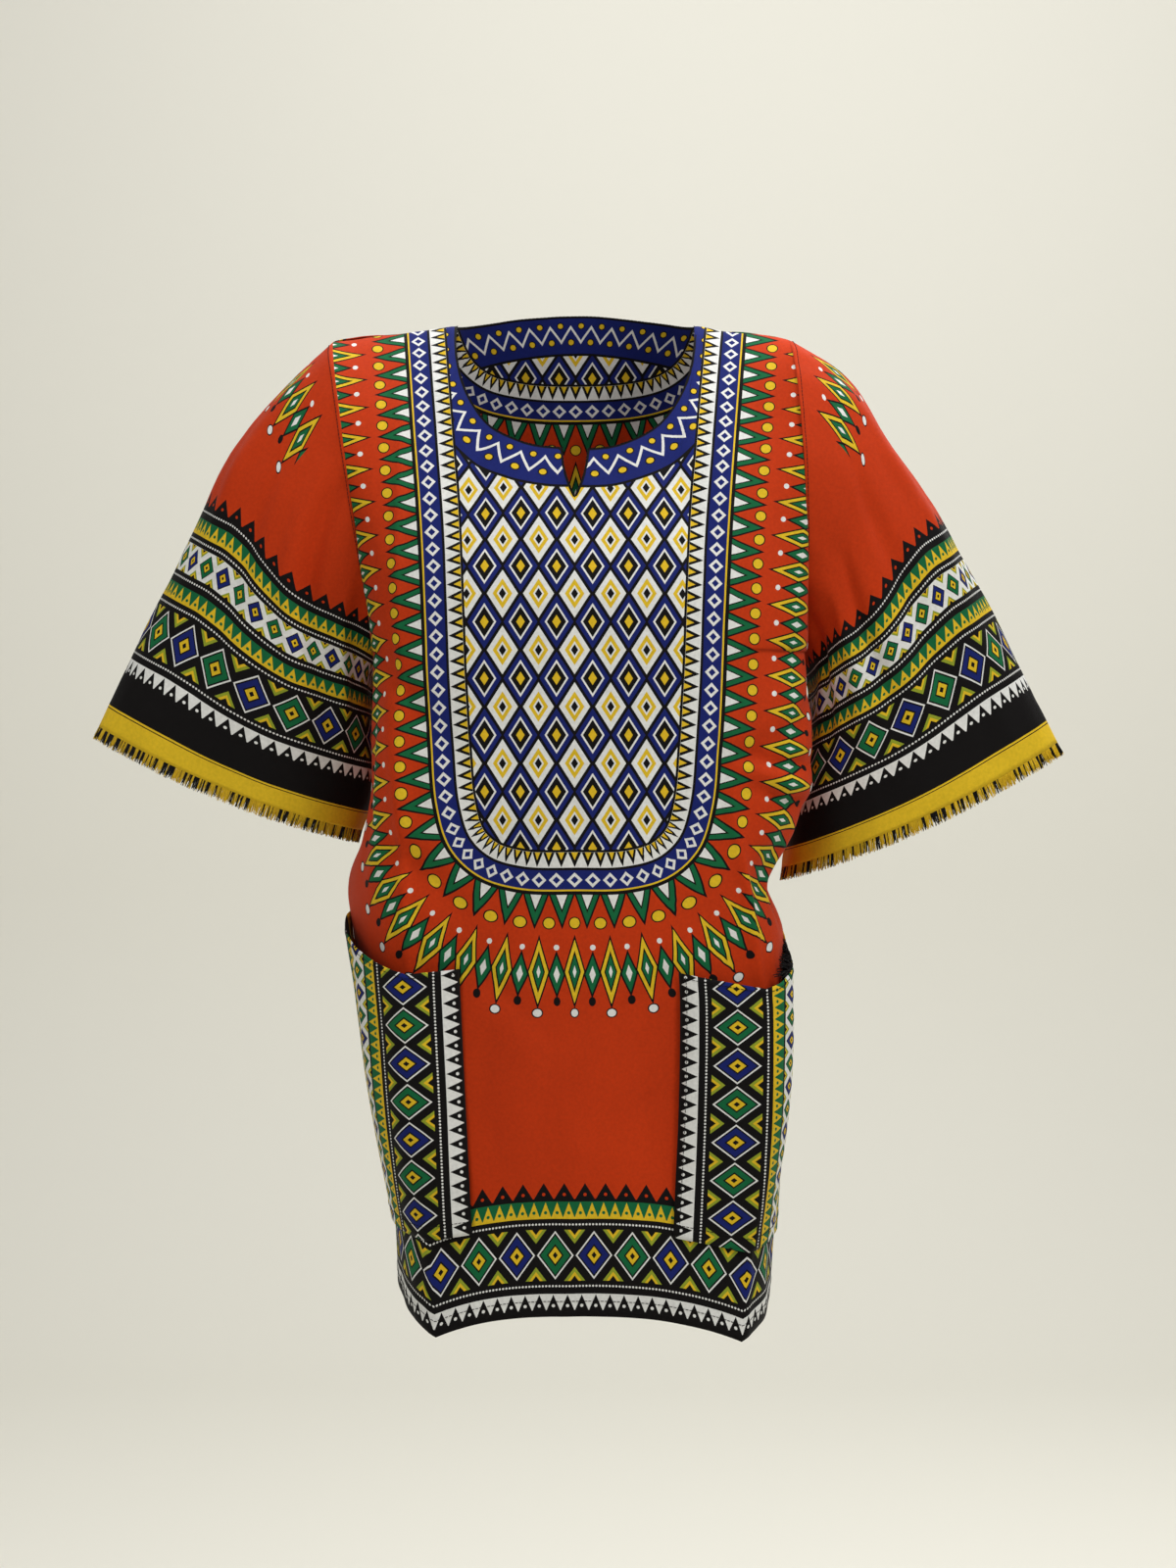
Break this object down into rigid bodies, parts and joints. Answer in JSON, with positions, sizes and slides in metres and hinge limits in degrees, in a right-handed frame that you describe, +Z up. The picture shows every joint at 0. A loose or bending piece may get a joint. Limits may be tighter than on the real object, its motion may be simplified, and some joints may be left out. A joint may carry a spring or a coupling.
{
  "type": "printed cotton dashiki dress in its worn form",
  "caption": "Short pullover cotton dress with a notched scoop neck, wide elbow sleeves with frayed hems and two patch pockets, hollow as if worn.",
  "frame": {"origin": "midway between the two neck points of the shoulder seams, where the wearer's shoulders hold the dress", "axes": "+Z up, -Y to the front of the dress, +X to the wearer's left"},
  "size_m": [0.7913, 0.2209, 0.8283],
  "materials": {
    "printed_cotton": "plain-woven cotton with a soft sheen, orange ground with printed borders",
    "border_print": "plain-woven cotton with an all-over border print in green, yellow, white and black",
    "bare_selvedge": "loosened yellow and black cotton threads"
  },
  "bodies": {
    "root": {"front": "printed_cotton", "back": "printed_cotton", "left_sleeve": "printed_cotton", "left_selvedge": "bare_selvedge", "left_pocket": "border_print", "right_sleeve": "printed_cotton", "right_selvedge": "bare_selvedge", "right_pocket": "border_print"}
  },
  "joints": []
}
